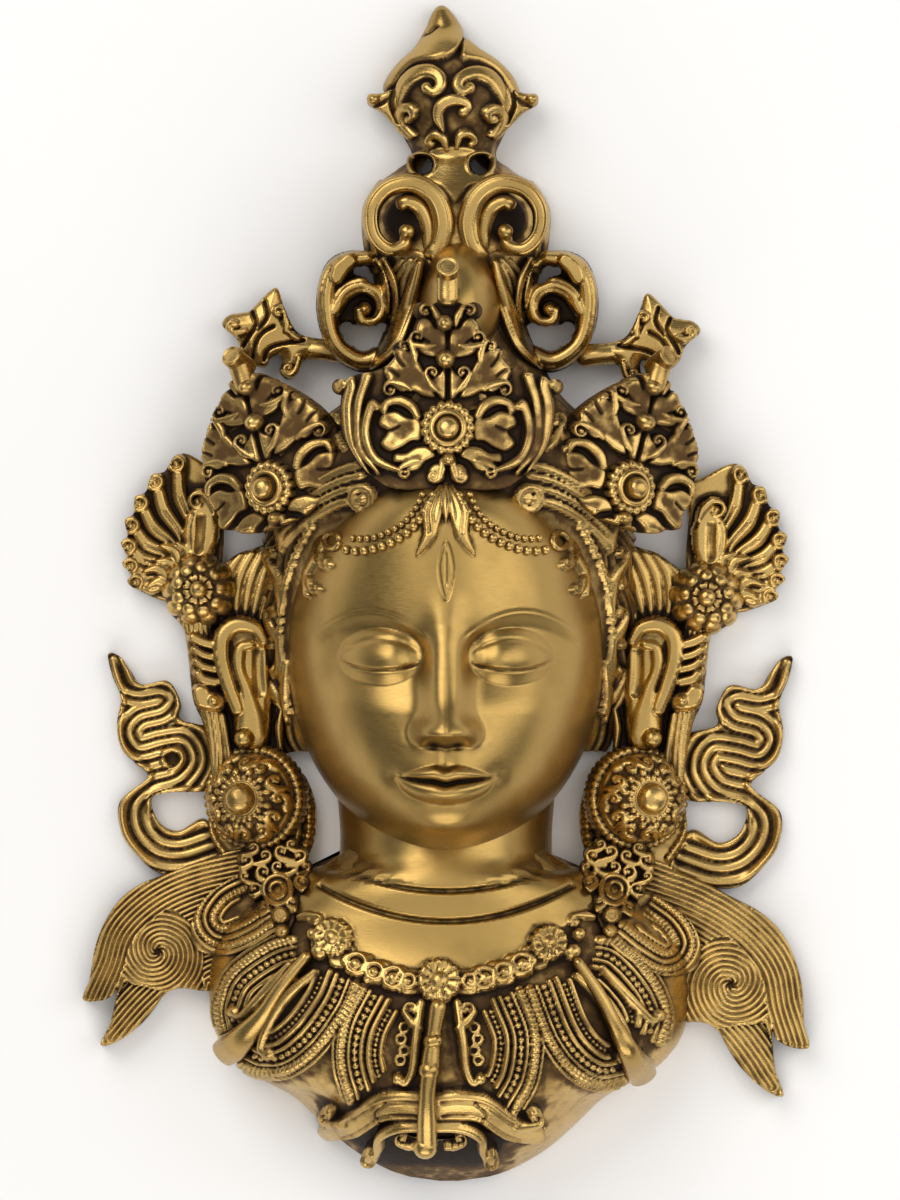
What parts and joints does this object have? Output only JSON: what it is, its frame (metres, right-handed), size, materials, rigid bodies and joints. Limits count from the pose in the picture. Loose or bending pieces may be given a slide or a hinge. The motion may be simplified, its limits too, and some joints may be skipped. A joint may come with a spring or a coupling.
{
  "type": "wall mask",
  "caption": "Hollow brass wall mask: a calm crowned head and collared bust with leaf crown, ear discs, ribbons and hair locks, cast in one piece with an open back.",
  "frame": {"origin": "centre of the mask's box on the plane of its open back, on which it lies", "axes": "+Z out of the face, +Y towards the crown's tip, +X to the right of a front view"},
  "size_m": [0.2195, 0.3528, 0.0813],
  "materials": {
    "brass": "satin antique brass, polished on the face and neck, with dark brown patina left in the hollows of the ornament"
  },
  "bodies": {
    "root": {"mask": "brass"}
  },
  "joints": []
}
